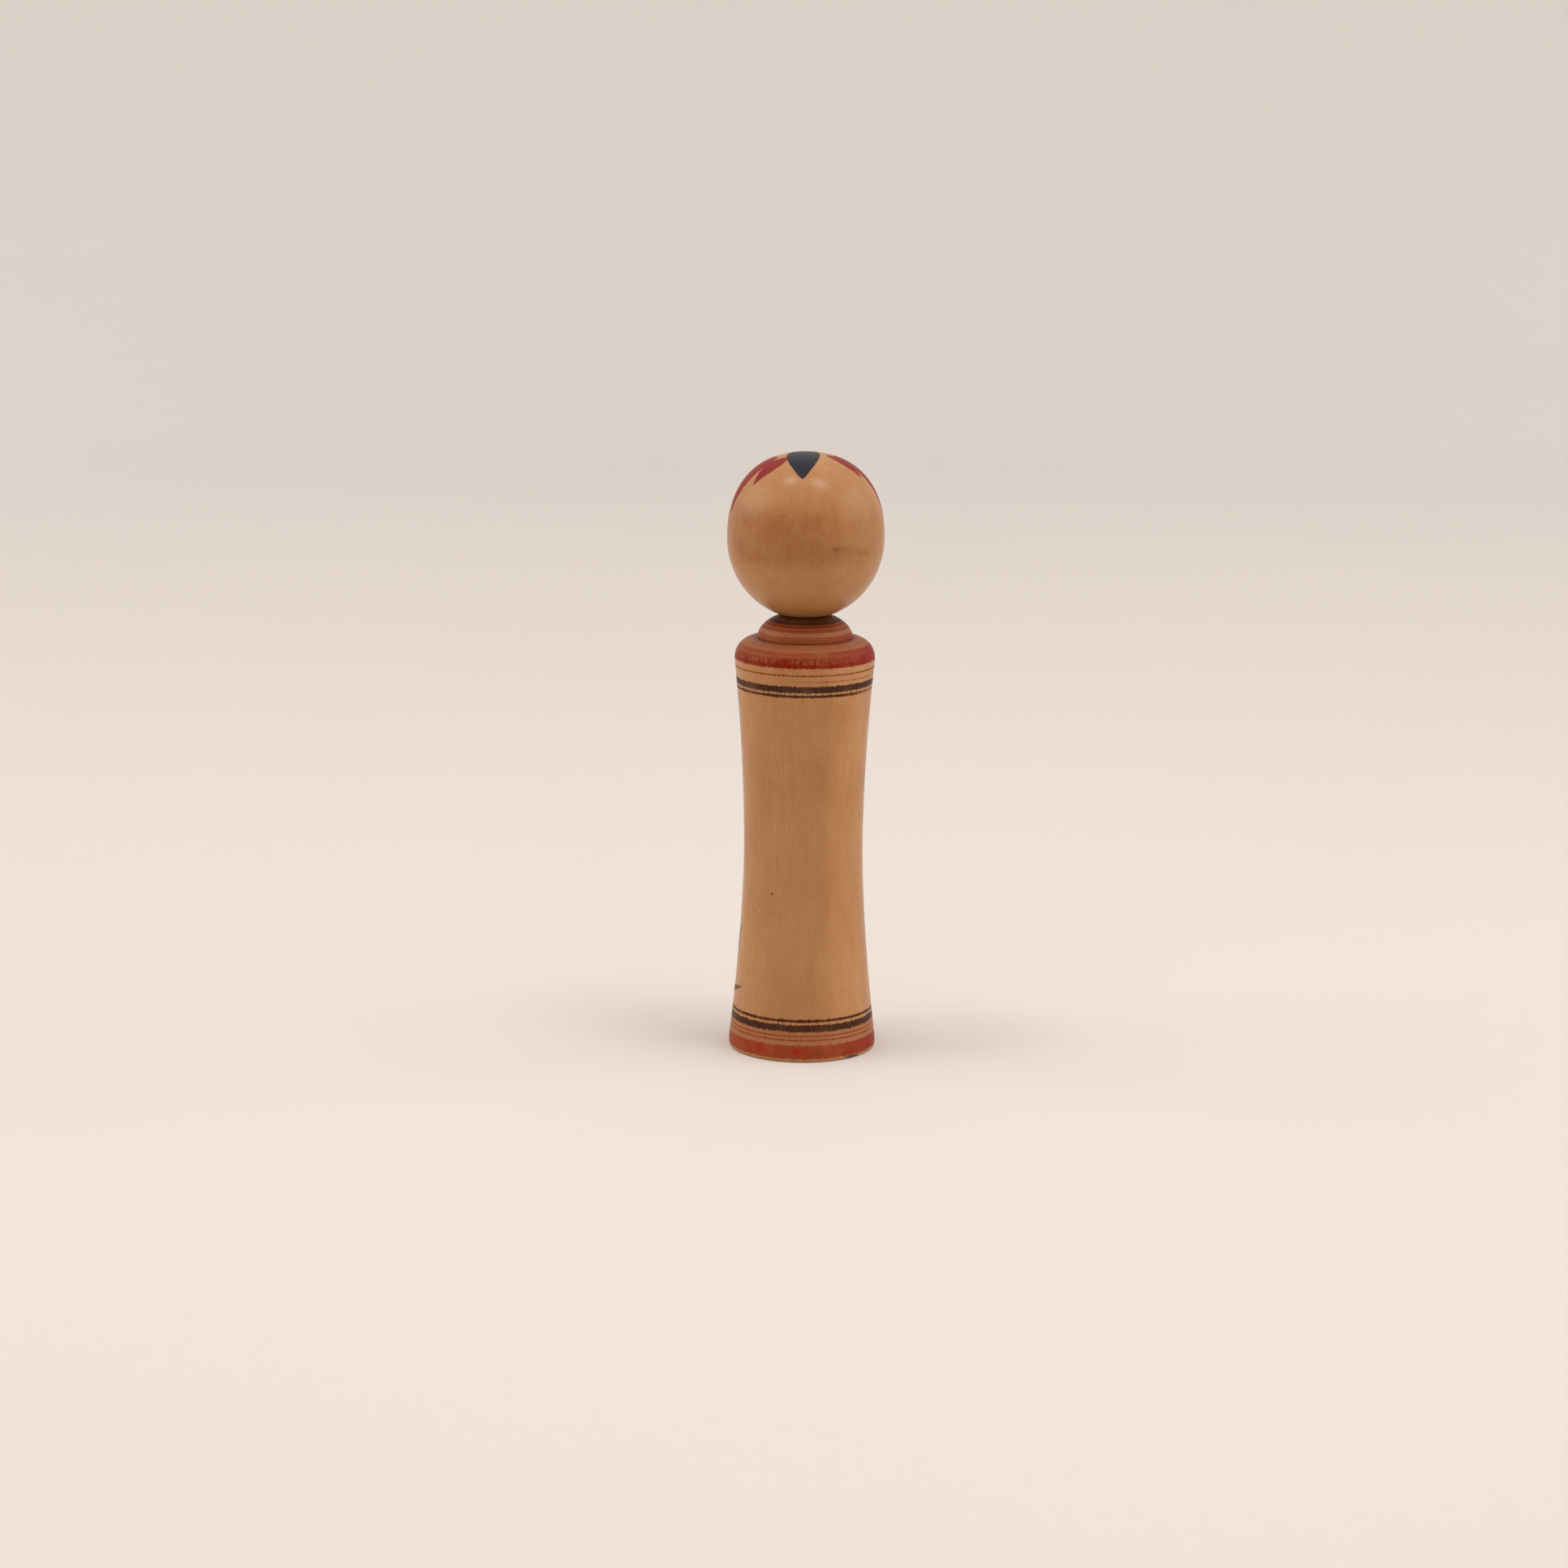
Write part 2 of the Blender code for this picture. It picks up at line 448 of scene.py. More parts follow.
class WearGroup(ShaderGroup):
    """Small marks of age: dark and light specks, handling rub and fine turning rings."""

    name = "age_marks"
    takes = {"Place": "Vector"}
    gives = dict.fromkeys(("Dark Specks", "Light Specks", "Rub", "Rings"), "Float")
    speck_size = 0.055

    def wire(self, w: Wiring, entry: Sockets) -> dict[str, Socket]:
        """Scatters the specks by cells, and lays the turning rings by height and radius alone.

        Args:
            w: The wiring of the group's tree.
            entry: The place.

        Returns:
            A mask for each kind of mark.
        """
        place = entry["Place"]
        marks = {}
        for name, scale, rarity in (("Dark Specks", 0.16, 0.7), ("Light Specks", 0.21, 0.74)):
            cells = w.add("ShaderNodeTexVoronoi", {"Vector": place, "Scale": scale}).outputs
            chance = w.add("ShaderNodeSeparateColor", {0: cells["Color"]}).outputs[0]
            size = w.times(chance, self.speck_size)
            dot = w.ease(cells["Distance"], w.times(size, 0.3), size, 1.0, 0.0)
            marks[name] = w.times(dot, w.math("GREATER_THAN", chance, rarity))
        marks["Rub"] = w.ease(w.noise(place, (0.12, 0.12, 0.09), 4.0), 0.45, 0.7)
        radius = w.vector("LENGTH", w.vector("MULTIPLY", place, FLAT))
        course = w.math("MULTIPLY_ADD", radius, 3.1, w.times(w.split(place)[2], 2.6))
        inputs = {"W": course, "Scale": 1.0, "Detail": 3.0}
        rings = w.add("ShaderNodeTexNoise", inputs, noise_dimensions="1D")
        marks["Rings"] = rings.outputs["Fac"]
        return marks


@dataclass(frozen=True)
class Groups:
    """The shader node groups that the materials share."""

    grain: GrainGroup = field(default_factory=GrainGroup)
    band: LatheBandGroup = field(default_factory=LatheBandGroup)
    brush: BrushGroup = field(default_factory=BrushGroup)
    spot: SpotGroup = field(default_factory=SpotGroup)
    wear: WearGroup = field(default_factory=WearGroup)


# ---------------------------------------------------------------- finishes


class Dye(Enum):
    """The few colours on the turner's bench, in linear light."""

    RED = (0.27, 0.024, 0.006, 1.0)
    DEEP_RED = (0.23, 0.011, 0.002, 1.0)
    DARK_RED = (0.155, 0.012, 0.002, 1.0)
    CRIMSON = (0.24, 0.012, 0.012, 1.0)
    RED_BROWN = (0.235, 0.037, 0.009, 1.0)
    PINK_WASH = (0.305, 0.098, 0.042, 1.0)
    INK = (0.047, 0.015, 0.009, 1.0)
    BROWN_INK = (0.050, 0.012, 0.003, 1.0)


@dataclass(frozen=True)
class Band:
    """One ring of colour between two heights in millimetres.

    A band that leans was pressed harder on one side: plus one on the doll's left, minus one on
    its right, and its spread says how far it goes round from there. A streaky band ran far along
    the fibres.
    """

    low: float
    high: float
    dye: Dye
    strength: float
    creep: float = 0.1
    softness: float = 0.08
    lean: float = 0.0
    spread: float = 0.8
    streaky: bool = False


@dataclass(frozen=True)
class Spot:
    """One mark of age, in millimetres.

    Its turn is in degrees from the middle of the doll's back, and grows towards the doll's left.
    """

    turn: float
    radius: float
    height: float
    half_width: float
    half_height: float
    colour: Colour
    strength: float
    hollow: float = 0.0

    def cover(self, w: Wiring, groups: Groups, place: Socket, colour: Socket) -> Socket:
        """Lays the spot over a colour.

        Args:
            w: The material's wiring.
            groups: The shared node groups.
            place: The place in millimetres.
            colour: The colour under the spot.

        Returns:
            The colour with the spot on it.
        """
        angle = math.radians(self.turn)
        centre = (self.radius * math.sin(angle), self.radius * math.cos(angle), self.height)
        reach = (self.half_width, self.half_width, self.half_height)
        inputs = {"Place": place, "Centre": centre, "Reach": reach, "Hollow": self.hollow}
        mask = w.times(groups.spot.place(w, inputs)["Mask"], self.strength)
        return w.mix(mask, colour, self.colour)


def new_material(name: str) -> tuple[bpy.types.Material, Wiring]:
    """Makes a node material with a Principled BSDF.

    Args:
        name: The material's name.

    Returns:
        The material and the wiring of its tree.
    """
    material = bpy.data.materials.new(name)
    material.use_nodes = True
    return material, Wiring(material.node_tree)


@dataclass(frozen=True)
class Ground:
    """The bare wood's sockets in one material, which the paint on it is worked out from."""

    grain: Sockets
    wear: Sockets
    place: Socket
    colour: Socket


@dataclass(frozen=True)
class WoodFinish:
    """Old waxed mizuki wood, which has gone from white to amber."""

    name: str
    pith: Triple
    pale: Colour = (0.507, 0.262, 0.107, 1.0)
    amber: Colour = (0.366, 0.158, 0.051, 1.0)
    umber: Colour = (0.312, 0.114, 0.028, 1.0)
    dark_speck: Colour = (0.12, 0.04, 0.012, 1.0)
    dark_strength: float = 0.55
    light_speck: Colour = (0.72, 0.45, 0.25, 1.0)
    light_strength: float = 0.3
    roughness: float = 0.36
    unevenness: float = 0.16
    relief: float = 0.02 * MM
    shine: float = 0.04
    wax: float = 0.42
    wax_roughness: float = 0.27
    turning_marks: float = 0.4
    spots: tuple[Spot, ...] = ()

    def ground(self, w: Wiring, groups: Groups) -> Ground:
        """Adds the bare wood's nodes, with its tone, specks and spots.

        Args:
            w: The material's wiring.
            groups: The shared node groups.

        Returns:
            The sockets that paint is worked out from.
        """
        here = w.add("ShaderNodeTexCoord", {}).outputs["Object"]
        place = w.vector("MULTIPLY", here, (1 / MM, 1 / MM, 1 / MM))
        inputs = {"Place": place, "Pith": self.pith}
        inputs |= {"Pale": self.pale, "Amber": self.amber, "Umber": self.umber}
        grain = groups.grain.place(w, inputs)
        wear = groups.wear.place(w, {"Place": place})
        colour = self.tone(w, grain["Color"], place)
        colour = w.mix(w.times(wear["Dark Specks"], self.dark_strength), colour, self.dark_speck)
        colour = w.mix(w.times(wear["Light Specks"], self.light_strength), colour, self.light_speck)
        for spot in self.spots:
            colour = spot.cover(w, groups, place, colour)
        return Ground(grain, wear, place, colour)

    def tone(self, w: Wiring, colour: Socket, place: Socket) -> Socket:
        """Darkens or lightens the wood from place to place."""
        return colour

    def shade(
        self,
        w: Wiring,
        ground: Ground,
        colour: Socket,
        marks: Socket,
        matt: Value,
        shine: float,
        wax: Value,
    ) -> None:
        """Feeds the Principled BSDF of a material.

        Args:
            w: The material's wiring.
            ground: The bare wood.
            colour: The colour.
            marks: The height of tool or brush marks, on top of the wood's own pores.
            matt: What paint adds to the wood's roughness.
            shine: The specular level.
            wax: The weight of the wax over it.
        """
        smooth = self.roughness - 0.5 * self.unevenness
        roughness = w.math("MULTIPLY_ADD", ground.grain["Patina"], self.unevenness, smooth)
        height = w.math("ADD", marks, ground.grain["Height"])
        bump = w.add("ShaderNodeBump", {"Height": height, "Distance": self.relief})
        inputs = {
            "Base Color": colour,
            "Roughness": w.math("ADD", roughness, matt),
            "Normal": bump.outputs["Normal"],
            "Specular IOR Level": shine,
            "Coat Weight": wax,
            "Coat Roughness": self.wax_roughness,
        }
        w.fill(w.tree.nodes["Principled BSDF"], inputs)


@dataclass(frozen=True)
class BandedWood(WoodFinish):
    """The body's wood with all the rings that were laid on it on the lathe."""

    bands: tuple[Band, ...] = ()
    blots: tuple[Spot, ...] = ()
    socket_radius: float = 6.5
    sapwood: Triple = (-0.68, 0.73, 0.0)
    sapwood_tint: Colour = (1.16, 1.22, 1.30, 1.0)
    turning_marks: float = 0.5
    dye_matt: float = 0.08
    dye_worn: float = 0.08
    dye_wax: float = 0.05

    def tone(self, w: Wiring, colour: Socket, place: Socket) -> Socket:
        """Lets a paler streak of sapwood run up the back, on the doll's right.

        Args:
            w: The material's wiring.
            colour: The wood's colour.
            place: The place in millimetres.

        Returns:
            The colour with the streak.
        """
        facing = w.vector("NORMALIZE", w.vector("MULTIPLY", place, FLAT))
        share = w.vector("DOT_PRODUCT", facing, self.sapwood)
        return w.mix(w.ease(share, 0.90, 0.985, 0.0, 0.6), colour, self.sapwood_tint, "MULTIPLY")

    def material(self, groups: Groups) -> bpy.types.Material:
        """Builds the body's material.

        Args:
            groups: The shared node groups.

        Returns:
            The material.
        """
        material, w = new_material(self.name)
        ground = self.ground(w, groups)
        x, _, z = w.split(ground.place)
        radius = w.vector("LENGTH", w.vector("MULTIPLY", ground.place, FLAT))
        turned = w.ease(radius, self.socket_radius, self.socket_radius + 0.4)
        cloudy = w.ease(w.noise(ground.place, (0.22, 0.22, 0.12), 3.0), 0.3, 0.7, 0.96, 1.0)
        grainy = w.ease(w.noise(ground.place, (2.0, 2.0, 1.6), 3.0), 0.3, 0.55, 0.93, 1.0)
        evenness = w.times(turned, cloudy, grainy)
        streaks = w.ease(w.noise(ground.place, (2.1, 2.1, 0.03), 2.0), 0.40, 0.62)
        colour, painted = ground.colour, 0.0
        for band in self.bands:
            inputs = {
                "Along": z,
                "From": band.low,
                "To": band.high,
                "Teeth": streaks if band.streaky else ground.grain["Teeth"],
                "Creep": band.creep,
                "Softness": band.softness,
            }
            mask = w.times(groups.band.place(w, inputs)["Mask"], evenness, band.strength)
            if band.lean:
                side = w.times(w.math("DIVIDE", x, radius), band.lean)
                mask = w.times(mask, w.ease(side, -band.spread, 0.9 - band.spread))
            colour = w.mix(mask, colour, band.dye.value)
            painted = w.math("MAXIMUM", painted, mask)
        for blot in self.blots:
            colour = blot.cover(w, groups, ground.place, colour)
        colour = w.mix(w.times(painted, ground.wear["Rub"], self.dye_worn), colour, self.pale)
        marks = w.times(ground.wear["Rings"], self.turning_marks)
        wax = w.math("MULTIPLY_ADD", painted, self.dye_wax - self.wax, self.wax)
        self.shade(w, ground, colour, marks, w.times(painted, self.dye_matt), self.shine, wax)
        return material


@dataclass(frozen=True)
class PlainWood(WoodFinish):
    """The head's wood, which carries only brush work, with painted shade round its middle and under its
    chin.
    """

    # Heights where the belt of painted shade rises in and falls away again.
    belt: tuple[float, float, float, float] = (146.0, 152.0, 161.0, 169.0)
    belt_shade_tint: Colour = (0.76, 0.62, 0.50, 1.0)

    def tone(self, w: Wiring, colour: Socket, place: Socket) -> Socket:
        """Paints shade onto the wood: a mottled belt round the head, most of all at the back, and a
        darkening under the chin that is partly patina.

        Args:
            w: The material's wiring.
            colour: The wood's colour.
            place: The place in millimetres.

        Returns:
            The colour with its painted shade.
        """
        x, y, z = w.split(place)
        # A mottled belt of painted shade round the head's middle, strongest at the back and on the doll's
        # left.
        rising = w.ease(z, self.belt[0], self.belt[1])
        falling = w.ease(z, self.belt[2], self.belt[3], 1.0, 0.0)
        back = w.ease(y, -12.0, 14.0, 0.35, 1.0)
        left = w.ease(x, -17.0, 2.0, 0.45, 1.0)
        cloud = w.ease(w.noise(place, (0.16, 0.16, 0.16), 4.0), 0.3, 0.65, 0.55, 1.0)
        # Painted shade under the chin, together with some patina.
        nape_shade = w.ease(z, 133.0, 139.0, 0.6, 0.0)
        share = w.math("MAXIMUM", w.times(rising, falling, back, left, cloud), nape_shade)
        return w.mix(share, colour, self.belt_shade_tint, "MULTIPLY")

    def material(self, groups: Groups) -> bpy.types.Material:
        """Builds the head's material.

        Args:
            groups: The shared node groups.

        Returns:
            The material.
        """
        material, w = new_material(self.name)
        ground = self.ground(w, groups)
        marks = w.times(ground.wear["Rings"], self.turning_marks)
        self.shade(w, ground, ground.colour, marks, 0.0, self.shine, self.wax)
        return material


@dataclass(frozen=True)
class BrushFinish:
    """Colour laid with a brush on a given wood."""

    name: str
    wood: WoodFinish
    thin: Colour
    thick: Colour
    dryness: float
    feather: float = 0.12
    ragged: float = 0.3
    roughness: float = 0.42
    rub: float = 0.05
    hair_marks: float = 0.5
    shine: float = 0.06
    wax: float = 0.03

    def material(self, groups: Groups) -> bpy.types.Material:
        """Builds the film's material.

        Args:
            groups: The shared node groups.

        Returns:
            The material.
        """
        material, w = new_material(self.name)
        ground = self.wood.ground(w, groups)
        inputs = {"Fibre": ground.grain["Fibre"], "Dryness": self.dryness}
        inputs |= {"Feather": self.feather, "Ragged": self.ragged}
        brush = groups.brush.place(w, inputs)
        paint = w.mix(brush["Pooled"], self.thin, self.thick)
        paint = w.mix(w.ease(brush["Hairs"], 0.3, 0.7, 0.25, 0.0), paint, self.thin)
        rubbed = w.times(ground.wear["Rub"], self.rub, brush["Cover"])
        cover = w.math("SUBTRACT", brush["Cover"], rubbed)
        colour = w.mix(cover, ground.colour, paint)
        marks = w.times(brush["Hairs"], self.hair_marks)
        matt = w.times(cover, self.roughness - self.wood.roughness)
        self.wood.shade(w, ground, colour, marks, matt, self.shine, self.wax)
        return material


# ---------------------------------------------------------------- turned blocks


@dataclass
class TurnedBody:
    """The trunk, its rolled shoulder and the domed yoke, cut from one block, with the neck's socket."""

    high: Vector
    foot_edge: float = 0.75 * MM
    foot_edge_rise: float = 0.9 * MM
    foot_height: float = 2.6 * MM
    waist_radius: float = 17.8 * MM
    waist_height: float = 61.0 * MM
    chest_radius: float = 20.88 * MM
    chest_height: float = 118.4 * MM
    skirt_sweep: float = 1.65
    chest_sweep: float = 1.92
    yoke_radius: float = 14.16 * MM
    yoke_base: float = 124.9 * MM
    yoke_rise: float = 7.9 * MM
    shoulder_roundness: float = 2.25
    groove: float = 0.22 * MM
    mouth_radius: float = 6.6 * MM
    pocket_radius: float = 7.4 * MM
    mouth_length: float = 3.4 * MM
    pocket_length: float = 9.4 * MM
    slope: float = 1.2 * MM
    claw_circle: float = 9.0 * MM
    claw_count: int = 4
    claw_size: Triple = (5.5 * MM, 1.2 * MM, 1.8 * MM)
    claw_taper: Point = (0.8, 0.3)
    underside_rings: tuple[float, ...] = (0.25, 0.5, 0.75, 0.9)
    facets: int = 288

    def flare(self, radius: float, height: float, sweep: float, steps: int) -> list[Point]:
        """Gives the side's outline from one end to just short of the waist.

        Args:
            radius: The end's radius.
            height: The end's height.
            sweep: How late the outline swings out to the end; 1 is a straight line.
            steps: Number of points.

        Returns:
            The points, as (radius, height), from the end.
        """
        points = []
        for i in range(steps):
            share = 1 - i / steps
            reach = self.waist_radius + (radius - self.waist_radius) * share**sweep
            points.append((reach, self.waist_height + (height - self.waist_height) * share))
        return points

    def side(self) -> list[Point]:
        """Gives the painted side's outline.

        Returns:
            The points, as (radius, height), from the foot up to the shoulder.
        """
        line = self.flare(self.high.x, self.foot_height, self.skirt_sweep, 62)
        line.append((self.waist_radius, self.waist_height))
        line += reversed(self.flare(self.chest_radius, self.chest_height, self.chest_sweep, 60))
        return line

    def outline(self) -> list[Point]:
        """Gives the whole section.

        Returns:
            The points, as (radius, height), from the underside round to the socket's floor.
        """
        foot, seat = self.high.x, self.high.z
        line = [(0.0, 0.0)]
        line += [(foot * share, 0.0) for share in self.underside_rings]
        edge = superellipse(self.foot_edge, self.foot_edge_rise, 2.0, -90, 0, 5)
        line += moved(edge, foot - self.foot_edge, self.foot_edge_rise)
        line.append((foot, 0.5 * (self.foot_edge_rise + self.foot_height)))
        line += self.side()

        width = self.chest_radius - self.yoke_radius
        rise = self.yoke_base - self.chest_height
        shoulder = superellipse(width, rise, self.shoulder_roundness, 0, 90, 30)
        line += moved(shoulder[1:-2], self.yoke_radius, self.chest_height)
        groove = superellipse(1.1 * self.groove, self.groove, 2.0, 0, -90, 4)
        line += moved(groove, self.yoke_radius - 0.2 * self.groove, self.yoke_base)
        top = math.degrees(math.asin((seat - self.yoke_base) / self.yoke_rise))
        yoke = superellipse(self.yoke_radius, self.yoke_rise, 2.0, 3, top, 26)
        line += moved(yoke, 0.0, self.yoke_base)

        lip = seat - self.mouth_length
        floor = lip - self.pocket_length
        line += [
            (self.mouth_radius + self.groove, seat),
            (self.mouth_radius, seat - self.groove),
            (self.mouth_radius, lip),
            (self.pocket_radius, lip - self.slope),
            (self.pocket_radius, floor + self.slope),
            (self.pocket_radius - self.slope, floor),
            (0.0, floor),
        ]
        return line

    def cut_claw_prints(self, piece: bpy.types.Object) -> None:
        """Cuts the prints of the lathe's claws into the underside.

        Args:
            piece: The turned block.
        """
        bm = bmesh.new()
        for i in range(self.claw_count):
            wedge = bmesh.ops.create_cube(bm, size=1.0)["verts"]
            bmesh.ops.scale(bm, vec=self.claw_size, verts=wedge)
            tip = [corner for corner in wedge if corner.co.z > 0]
            bmesh.ops.scale(bm, vec=(*self.claw_taper, 1.0), verts=tip)
            bmesh.ops.translate(bm, vec=(self.claw_circle, 0.0, 0.0), verts=wedge)
            turned = Matrix.Rotation(math.tau * i / self.claw_count, 3, "Z")
            bmesh.ops.rotate(bm, cent=(0.0, 0.0, 0.0), matrix=turned, verts=wedge)
        cutter = as_object("claw_cutter", bm)
        cut = piece.modifiers.new("claw_prints", "BOOLEAN")
        cut.operation = "DIFFERENCE"
        cut.solver = "EXACT"
        cut.object = cutter
        graph = bpy.context.evaluated_depsgraph_get()
        whole = bpy.data.meshes.new_from_object(piece.evaluated_get(graph))
        piece.modifiers.clear()
        piece.data = whole
        bpy.data.objects.remove(cutter)

    def build(self) -> bpy.types.Object:
        """Turns the body and cuts its underside."""
        piece = turn("turned_body", self.outline(), self.facets)
        self.cut_claw_prints(piece)
        return piece


@dataclass
class TurnedHead:
    """The ball of the head with the tenon that it turns on, cut from one block."""

    low: Vector
    high: Vector
    level: float = 154.8 * MM
    crown_roundness: float = 2.3
    chin_depth: float = 24.1 * MM
    chin_roundness: float = 2.03
    underside: float = 132.1 * MM
    tenon_radius: float = 6.3 * MM
    bead_radius: float = 7.1 * MM
    bead_length: float = 7.0 * MM
    slope: float = 1.2 * MM
    facets: int = 288

    def side(self) -> list[Point]:
        """Gives the ball's outline.

        Returns:
            The points, as (radius, height), from the underside up to the crown.
        """
        depth = (self.level - self.underside) / self.chin_depth
        cut = math.degrees(math.asin(depth ** (self.chin_roundness / 2)))
        radius = self.high.x
        chin = superellipse(radius, self.chin_depth, self.chin_roundness, -cut, 0, 60)
        crown = superellipse(radius, self.high.z - self.level, self.crown_roundness, 0, 90, 72)
        return moved(chin, 0.0, self.level) + moved(crown[1:], 0.0, self.level)

    def outline(self) -> list[Point]:
        """Gives the whole section.

        Returns:
            The points, as (radius, height), from the tenon's end up to the crown.
        """
        foot = self.low.z
        bead_top = foot + self.bead_length
        line = [
            (0.0, foot),
            (self.bead_radius - self.slope, foot),
            (self.bead_radius, foot + self.slope),
            (self.bead_radius, bead_top - self.slope),
            (self.tenon_radius, bead_top),
            (self.tenon_radius, self.underside),
        ]
        return line + self.side()

    def build(self) -> bpy.types.Object:
        """Turns the head."""
        return turn("turned_head", self.outline(), self.facets)


# ---------------------------------------------------------------- brush work


class Skin:
    """A turned surface that paint is laid on, measured along its outline from the bottom up."""

    def __init__(self, line: list[Point]) -> None:
        """Measures an outline whose heights all rise."""
        self.line = line
        self.heights = [z for _, z in line]
        self.along = [0.0]
        for a, b in zip(line, line[1:]):
            self.along.append(self.along[-1] + math.dist(a, b))

    def at(self, along: float) -> tuple[float, float, float, float]:
        """Reads the surface at a distance along its outline.

        Args:
            along: Distance from the outline's lowest point.

        Returns:
            Radius, height, and the outward normal's two parts.
        """
        i = min(max(bisect_right(self.along, along) - 1, 0), len(self.line) - 2)
        (r0, z0), (r1, z1) = self.line[i], self.line[i + 1]
        length = self.along[i + 1] - self.along[i]
        t = min((along - self.along[i]) / length, 1.0)
        return r0 + (r1 - r0) * t, z0 + (z1 - z0) * t, (z1 - z0) / length, (r0 - r1) / length

    def at_height(self, height: float) -> float:
        """Gives the distance along the outline at which the surface has a height.

        Args:
            height: The height in metres.

        Returns:
            The distance from the outline's lowest point.
        """
        i = min(max(bisect_right(self.heights, height) - 1, 0), len(self.line) - 2)
        share = (height - self.heights[i]) / (self.heights[i + 1] - self.heights[i])
        return self.along[i] + share * (self.along[i + 1] - self.along[i])


class PaintMap(Protocol):
    """A flat map that strokes are drawn on, in millimetres."""

    def place(self, across: float, up: float, lift: float) -> Vector:
        """Gives the place of a map point, raised off the wood by a lift in metres."""


@dataclass(frozen=True)
class CrownMap:
    """The head seen from above: first number to the doll's left, second towards its back."""

    skin: Skin

    def place(self, across: float, up: float, lift: float) -> Vector:
        """Walks from the crown in the point's direction for the point's distance.

        Args:
            across: Distance to the doll's left.
            up: Distance towards its back.
            lift: How far the place is raised off the wood, in metres.

        Returns:
            The place in metres.
        """
        distance = math.hypot(across, up)
        r, z, out, rise = self.skin.at(self.skin.along[-1] - distance * MM)
        ahead = Vector((across, up, 0.0)) / max(distance, 1e-9)
        return ahead * (r + out * lift) + Vector((0.0, 0.0, z + rise * lift))


@dataclass(frozen=True)
class FrontMap:
    """A turned surface seen from the front: first number to the doll's left, second the height."""

    skin: Skin

    def place(self, across: float, up: float, lift: float) -> Vector:
        """Walks round from the front's middle line at the point's height.

        Args:
            across: Distance to the doll's left, along the wood.
            up: The height.
            lift: How far the place is raised off the wood, in metres.

        Returns:
            The place in metres.
        """
        r, z, out, rise = self.skin.at(self.skin.at_height(up * MM))
        turned = across * MM / r
        ahead = Vector((math.sin(turned), -math.cos(turned), 0.0))
        return ahead * (r + out * lift) + Vector((0.0, 0.0, z + rise * lift))


class Touch(Enum):
    """How a brush is pressed: the power that moves the widest place, and the fullness of the ends."""

    TEARDROP = (0.55, 0.75)
    PETAL = (0.72, 0.62)
    LEAF = (0.85, 1.0)
    LINE = (1.0, 0.35)
    DAB = (1.0, 0.5)
    SPADE = (0.8, 0.82)
    RIBBON = (0.7, 0.75)
    BLADE = (0.8, 1.0)
    FRINGE = (1.45, 0.6)
    LOCK = (0.62, 0.7)

    def width(self, share: float) -> float:
        """Gives the share of the full width at a share of the length."""
        power, fullness = self.value
        return max(math.sin(math.pi * min(share, 1.0) ** power), 0.0) ** fullness


@dataclass(frozen=True)
class Stroke:
    """One stroke of a brush: its route on a map, its half width in millimetres, and its touch."""

    route: tuple[Point, ...]
    half_width: float
    touch: Touch = Touch.TEARDROP
    layer: int = 0


